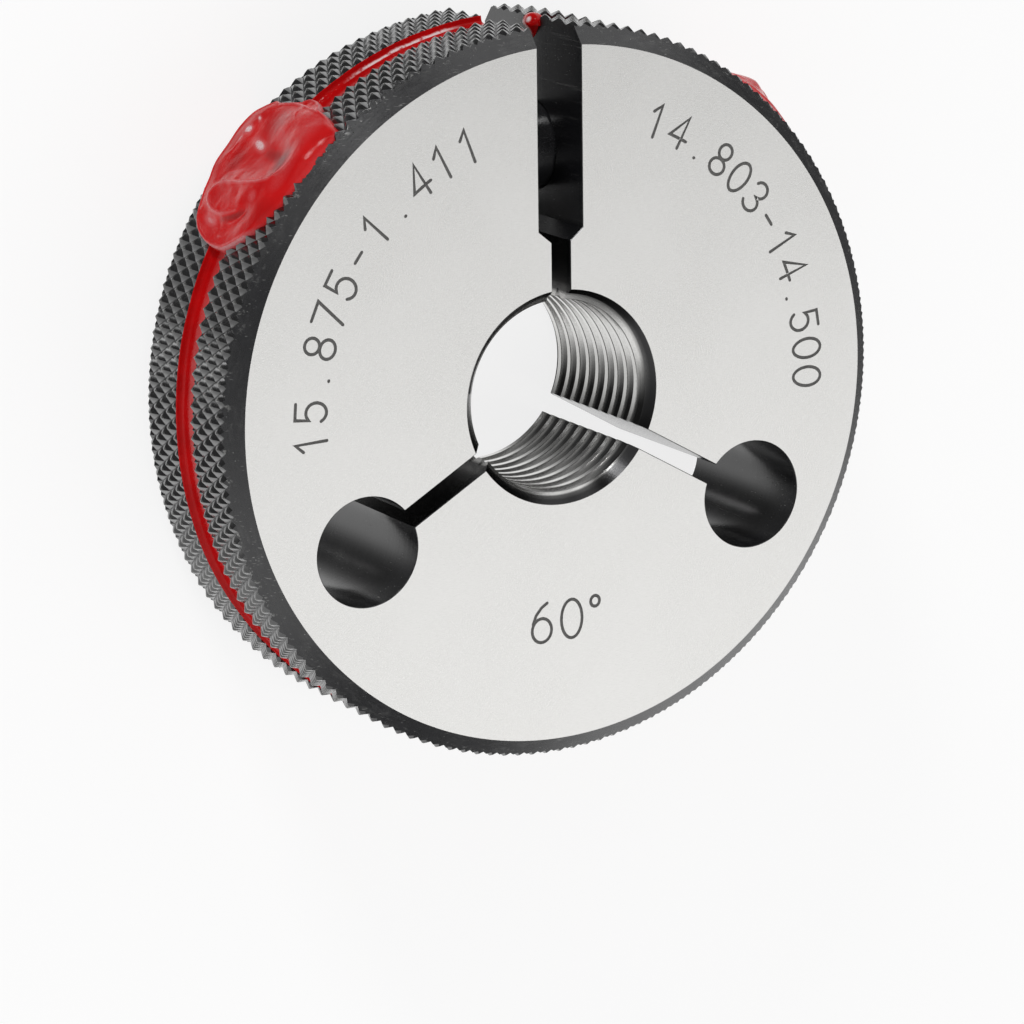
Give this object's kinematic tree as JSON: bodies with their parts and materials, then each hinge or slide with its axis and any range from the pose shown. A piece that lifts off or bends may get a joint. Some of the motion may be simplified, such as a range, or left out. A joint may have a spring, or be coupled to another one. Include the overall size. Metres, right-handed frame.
{
  "type": "thread ring gauge",
  "caption": "Adjustable thread ring gauge: a knurled, slotted steel ring with a marking groove round the rim and red wax seals over its locking screws, for checking an external thread.",
  "frame": {"origin": "on the thread axis, half way between the two ground faces", "axes": "+Z along the thread axis towards the marked face, +Y from the thread axis to the adjusting slot, +X to the side of the locking screw's head"},
  "size_m": [0.0558, 0.0557, 0.0144],
  "materials": {
    "blackened_ring_steel": "hardened tool steel: both faces finely ground and bright, the rest black oxide with worn knurl crests",
    "blackened_screw_steel": "black oxide steel, oiled",
    "red_enamel": "thick glossy red enamel",
    "red_sealing_wax": "glossy red sealing wax"
  },
  "bodies": {
    "root": {"ring_body": "blackened_ring_steel", "sleeve": "blackened_screw_steel", "adjusting_screw": "blackened_screw_steel", "locking_screw": "blackened_screw_steel", "groove_enamel": "red_enamel", "locking_screw_seal": "red_sealing_wax", "adjusting_screw_seal": "red_sealing_wax"}
  },
  "joints": []
}
